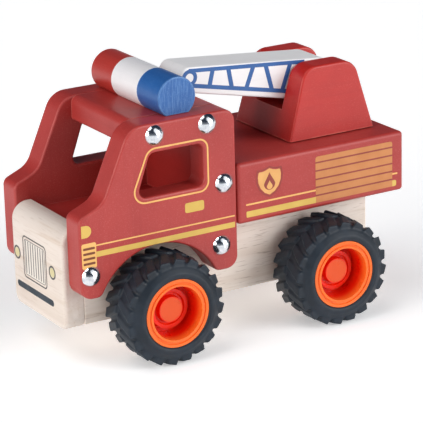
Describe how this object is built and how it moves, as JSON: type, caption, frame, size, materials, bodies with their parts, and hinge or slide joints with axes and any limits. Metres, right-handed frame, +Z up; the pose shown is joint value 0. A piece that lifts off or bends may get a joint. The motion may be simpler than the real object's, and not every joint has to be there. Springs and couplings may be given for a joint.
{
  "type": "toy fire engine",
  "caption": "Chunky wooden toy fire engine with an open cab, a dowel light bar, a swivelling ladder turret and free-rolling tractor wheels.",
  "frame": {"origin": "on the floor under the middle of the vehicle's length and width", "axes": "+X forward to the nose, +Y to the vehicle's left, +Z up"},
  "size_m": [0.182, 0.1112, 0.1314],
  "materials": {
    "bare_wood": "sanded bare wood",
    "red_paint": "satin red paint on wood",
    "bright_nail": "polished",
    "peg_wood": "bare beech",
    "blue_paint": "satin blue paint on wood",
    "white_paint": "satin white paint on wood",
    "bar_red_paint": "satin red paint on wood",
    "turret_red_paint": "satin red paint on wood",
    "washer_fibre": "plain",
    "ladder_white_paint": "satin white paint with a blue printed ladder",
    "axle_steel": "bright drawn rod",
    "hub_plastic": "moulded orange",
    "tyre_rubber": "moulded rubber with tractor lugs"
  },
  "bodies": {
    "chassis": {"chassis_beam": "bare_wood", "nose_board": "bare_wood", "cab_side_left": "red_paint", "cab_side_right": "red_paint", "cab_roof": "red_paint", "cab_floor": "red_paint", "cab_rear_wall": "red_paint", "bed_block": "red_paint", "nail_left_1": "bright_nail", "nail_right_1": "bright_nail", "nail_left_2": "bright_nail", "nail_right_2": "bright_nail", "nail_left_3": "bright_nail", "nail_right_3": "bright_nail", "nail_left_4": "bright_nail", "nail_right_4": "bright_nail", "nail_left_5": "bright_nail", "nail_right_5": "bright_nail", "light_bar_left": "blue_paint", "light_bar_middle": "white_paint", "light_bar_right": "bar_red_paint", "bed_peg_1": "peg_wood", "bed_peg_2": "peg_wood", "bar_peg_left": "peg_wood", "bar_peg_middle": "peg_wood", "bar_peg_right": "peg_wood", "turret_post": "peg_wood", "turret_washer": "washer_fibre"},
    "turret_block": {"turret": "turret_red_paint", "ladder_pin": "peg_wood"},
    "ladder_beam": {"ladder": "ladder_white_paint"},
    "front_wheels": {"front_axle": "axle_steel", "hub_front_left": "hub_plastic", "hub_front_right": "hub_plastic", "tyre_front_left": "tyre_rubber", "tyre_front_right": "tyre_rubber"},
    "rear_wheels": {"rear_axle": "axle_steel", "hub_rear_left": "hub_plastic", "hub_rear_right": "hub_plastic", "tyre_rear_left": "tyre_rubber", "tyre_rear_right": "tyre_rubber"}
  },
  "joints": [
    {"name": "turret_swivel", "type": "hinge", "parent": "chassis", "child": "turret_block", "pos_m": [-0.0588, 0, 0.08655], "axis": [0, 0, 1], "continuous": true},
    {"name": "ladder_lift", "type": "hinge", "parent": "turret_block", "child": "ladder_beam", "pos_m": [-0.0598, 0, 0.11085], "axis": [0, -1, 0], "range_deg": [0, 80]},
    {"name": "front_wheels_spin", "type": "hinge", "parent": "chassis", "child": "front_wheels", "pos_m": [0.0471, 0, 0.026], "axis": [0, 1, 0], "continuous": true},
    {"name": "rear_wheels_spin", "type": "hinge", "parent": "chassis", "child": "rear_wheels", "pos_m": [-0.0449, 0, 0.026], "axis": [0, 1, 0], "continuous": true}
  ]
}
